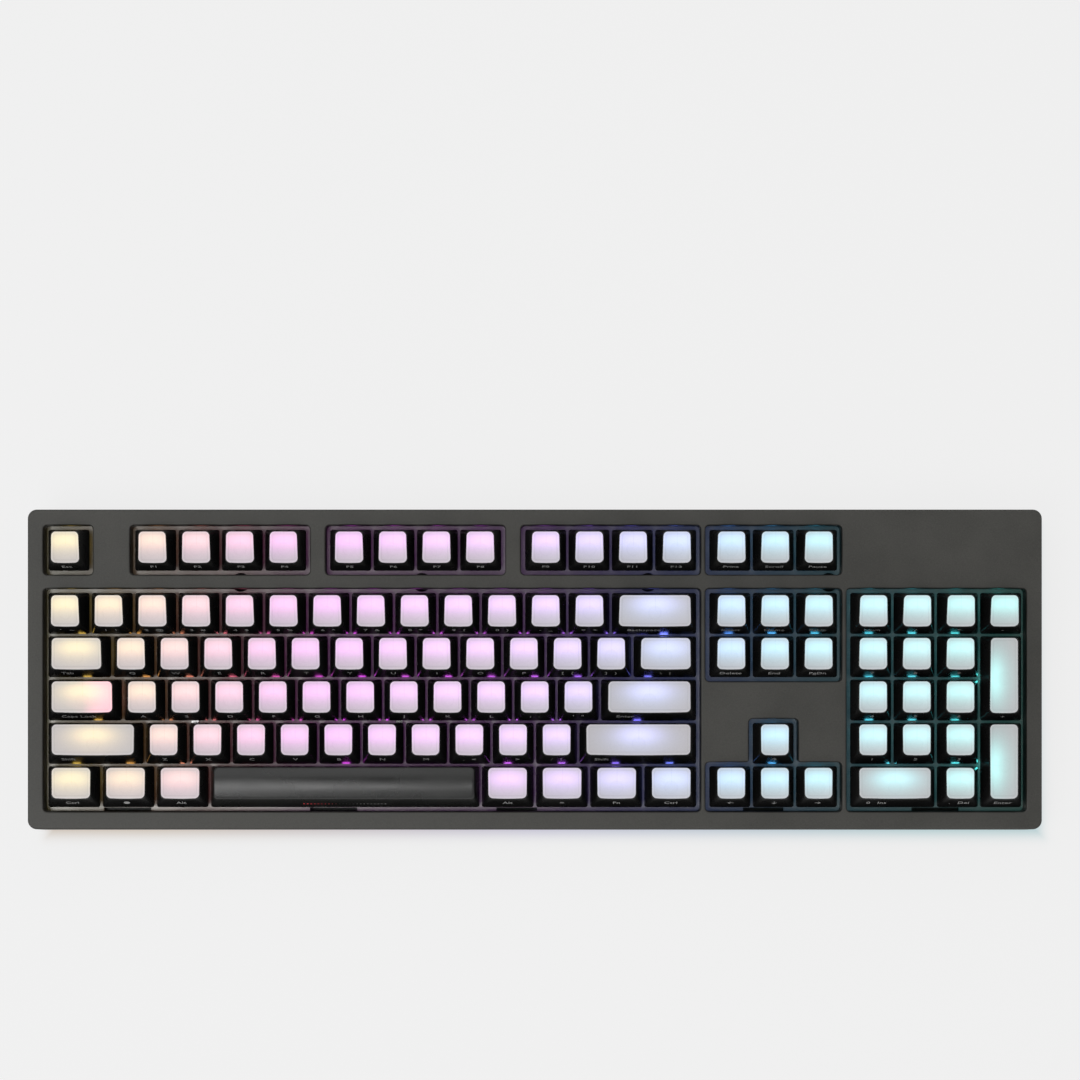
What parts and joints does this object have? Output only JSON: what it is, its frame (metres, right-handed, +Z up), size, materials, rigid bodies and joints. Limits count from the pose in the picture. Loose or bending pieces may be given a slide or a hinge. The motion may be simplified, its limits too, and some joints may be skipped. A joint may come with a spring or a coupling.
{
  "type": "mechanical keyboard",
  "caption": "Full-size mechanical keyboard with light-passing black keycaps, a wedge case, a metal switch plate and flip-out feet.",
  "frame": {"origin": "middle of the case's footprint, on the surface that the rubber feet rest on", "axes": "+X to the typist's right along the case's length, +Y away from the typist, +Z up"},
  "size_m": [0.445, 0.14, 0.0391],
  "materials": {
    "case_plastic": "matte",
    "plate_metal": "satin",
    "board": "satin",
    "chip": "matte",
    "socket_steel": "satin",
    "lead": "matte",
    "housing_plastic": "satin",
    "spring_steel": "satin",
    "contact_brass": "satin",
    "lamp": "gloss",
    "screw_black": "satin",
    "screw_steel": "satin",
    "rubber": "matte",
    "key_black": "satin",
    "key_window": "satin",
    "space_bar": "satin"
  },
  "bodies": {
    "case": {"top_case": "case_plastic", "bottom_case": "case_plastic", "switch_plate": "plate_metal", "circuit_board": "board", "controller_chip": "chip", "usb_board": "board", "usb_socket": "socket_steel", "board_lead": "lead", "switch_lower_housings": "housing_plastic", "switch_upper_housings": "housing_plastic", "switch_springs": "spring_steel", "switch_contacts": "contact_brass", "backlight_leds": "lamp", "stabilizer_housings": "housing_plastic", "stabilizer_wires": "spring_steel", "case_screws": "screw_black", "plate_screws": "screw_steel", "rubber_feet": "rubber", "foot_hinge_pins": "screw_steel"},
    "escape": {"escape_cap": "key_black", "escape_window": "key_window"},
    "function_keys": {"function_caps": "key_black", "function_windows": "key_window"},
    "system_keys": {"system_caps": "key_black", "system_windows": "key_window"},
    "number_keys": {"number_caps": "key_black", "number_windows": "key_window"},
    "backspace": {"backspace_cap": "key_black", "backspace_window": "key_window"},
    "upper_letter_keys": {"upper_letter_caps": "key_black", "upper_letter_windows": "key_window"},
    "home_letter_keys": {"home_letter_caps": "key_black", "home_letter_windows": "key_window"},
    "enter": {"enter_cap": "key_black", "enter_window": "key_window"},
    "left_shift": {"left_shift_cap": "key_black", "left_shift_window": "key_window"},
    "lower_letter_keys": {"lower_letter_caps": "key_black", "lower_letter_windows": "key_window"},
    "right_shift": {"right_shift_cap": "key_black", "right_shift_window": "key_window"},
    "space": {"space_bar": "space_bar"},
    "modifier_keys": {"modifier_caps": "key_black", "modifier_windows": "key_window"},
    "navigation_keys": {"navigation_caps": "key_black", "navigation_windows": "key_window"},
    "arrow_keys": {"arrow_caps": "key_black", "arrow_windows": "key_window"},
    "numpad_keys": {"numpad_caps": "key_black", "numpad_windows": "key_window"},
    "numpad_plus": {"numpad_plus_cap": "key_black", "numpad_plus_window": "key_window"},
    "numpad_enter": {"numpad_enter_cap": "key_black", "numpad_enter_window": "key_window"},
    "numpad_zero": {"numpad_zero_cap": "key_black", "numpad_zero_window": "key_window"},
    "flip_foot_left": {"flip_foot_left": "case_plastic", "flip_foot_left_pad": "rubber"},
    "flip_foot_right": {"flip_foot_right": "case_plastic", "flip_foot_right_pad": "rubber"}
  },
  "joints": [
    {"name": "escape_travel", "type": "slide", "parent": "case", "child": "escape", "axis": [0, 0.0698, -0.9976], "range_m": [0, 0.004], "stiffness_N_per_m": 75, "springref_m": -0.006, "deforming": ["switch_springs"]},
    {"name": "function_keys_travel", "type": "slide", "parent": "case", "child": "function_keys", "axis": [0, 0.0698, -0.9976], "range_m": [0, 0.004], "stiffness_N_per_m": 900, "springref_m": -0.006, "deforming": ["switch_springs"]},
    {"name": "system_keys_travel", "type": "slide", "parent": "case", "child": "system_keys", "axis": [0, 0.0698, -0.9976], "range_m": [0, 0.004], "stiffness_N_per_m": 225, "springref_m": -0.006, "deforming": ["switch_springs"]},
    {"name": "number_keys_travel", "type": "slide", "parent": "case", "child": "number_keys", "axis": [0, 0.0698, -0.9976], "range_m": [0, 0.004], "stiffness_N_per_m": 975, "springref_m": -0.006, "deforming": ["switch_springs"]},
    {"name": "backspace_travel", "type": "slide", "parent": "case", "child": "backspace", "axis": [0, 0.0698, -0.9976], "range_m": [0, 0.004], "stiffness_N_per_m": 75, "springref_m": -0.006, "deforming": ["switch_springs", "stabilizer_wires"]},
    {"name": "upper_letter_keys_travel", "type": "slide", "parent": "case", "child": "upper_letter_keys", "axis": [0, 0.0698, -0.9976], "range_m": [0, 0.004], "stiffness_N_per_m": 1050, "springref_m": -0.006, "deforming": ["switch_springs"]},
    {"name": "home_letter_keys_travel", "type": "slide", "parent": "case", "child": "home_letter_keys", "axis": [0, 0.0698, -0.9976], "range_m": [0, 0.004], "stiffness_N_per_m": 900, "springref_m": -0.006, "deforming": ["switch_springs"]},
    {"name": "enter_travel", "type": "slide", "parent": "case", "child": "enter", "axis": [0, 0.0698, -0.9976], "range_m": [0, 0.004], "stiffness_N_per_m": 75, "springref_m": -0.006, "deforming": ["switch_springs", "stabilizer_wires"]},
    {"name": "left_shift_travel", "type": "slide", "parent": "case", "child": "left_shift", "axis": [0, 0.0698, -0.9976], "range_m": [0, 0.004], "stiffness_N_per_m": 75, "springref_m": -0.006, "deforming": ["switch_springs", "stabilizer_wires"]},
    {"name": "lower_letter_keys_travel", "type": "slide", "parent": "case", "child": "lower_letter_keys", "axis": [0, 0.0698, -0.9976], "range_m": [0, 0.004], "stiffness_N_per_m": 750, "springref_m": -0.006, "deforming": ["switch_springs"]},
    {"name": "right_shift_travel", "type": "slide", "parent": "case", "child": "right_shift", "axis": [0, 0.0698, -0.9976], "range_m": [0, 0.004], "stiffness_N_per_m": 75, "springref_m": -0.006, "deforming": ["switch_springs", "stabilizer_wires"]},
    {"name": "space_travel", "type": "slide", "parent": "case", "child": "space", "axis": [0, 0.0698, -0.9976], "range_m": [0, 0.004], "stiffness_N_per_m": 75, "springref_m": -0.006, "deforming": ["switch_springs", "stabilizer_wires"]},
    {"name": "modifier_keys_travel", "type": "slide", "parent": "case", "child": "modifier_keys", "axis": [0, 0.0698, -0.9976], "range_m": [0, 0.004], "stiffness_N_per_m": 525, "springref_m": -0.006, "deforming": ["switch_springs"]},
    {"name": "navigation_keys_travel", "type": "slide", "parent": "case", "child": "navigation_keys", "axis": [0, 0.0698, -0.9976], "range_m": [0, 0.004], "stiffness_N_per_m": 450, "springref_m": -0.006, "deforming": ["switch_springs"]},
    {"name": "arrow_keys_travel", "type": "slide", "parent": "case", "child": "arrow_keys", "axis": [0, 0.0698, -0.9976], "range_m": [0, 0.004], "stiffness_N_per_m": 300, "springref_m": -0.006, "deforming": ["switch_springs"]},
    {"name": "numpad_keys_travel", "type": "slide", "parent": "case", "child": "numpad_keys", "axis": [0, 0.0698, -0.9976], "range_m": [0, 0.004], "stiffness_N_per_m": 1050, "springref_m": -0.006, "deforming": ["switch_springs"]},
    {"name": "numpad_plus_travel", "type": "slide", "parent": "case", "child": "numpad_plus", "axis": [0, 0.0698, -0.9976], "range_m": [0, 0.004], "stiffness_N_per_m": 75, "springref_m": -0.006, "deforming": ["switch_springs", "stabilizer_wires"]},
    {"name": "numpad_enter_travel", "type": "slide", "parent": "case", "child": "numpad_enter", "axis": [0, 0.0698, -0.9976], "range_m": [0, 0.004], "stiffness_N_per_m": 75, "springref_m": -0.006, "deforming": ["switch_springs", "stabilizer_wires"]},
    {"name": "numpad_zero_travel", "type": "slide", "parent": "case", "child": "numpad_zero", "axis": [0, 0.0698, -0.9976], "range_m": [0, 0.004], "stiffness_N_per_m": 75, "springref_m": -0.006, "deforming": ["switch_springs", "stabilizer_wires"]},
    {"name": "flip_foot_left_hinge", "type": "hinge", "parent": "case", "child": "flip_foot_left", "pos_m": [-0.165, 0.056, 0.0038], "axis": [1, 0, 0], "range_deg": [0, 100]},
    {"name": "flip_foot_right_hinge", "type": "hinge", "parent": "case", "child": "flip_foot_right", "pos_m": [0.165, 0.056, 0.0038], "axis": [1, 0, 0], "range_deg": [0, 100]}
  ]
}
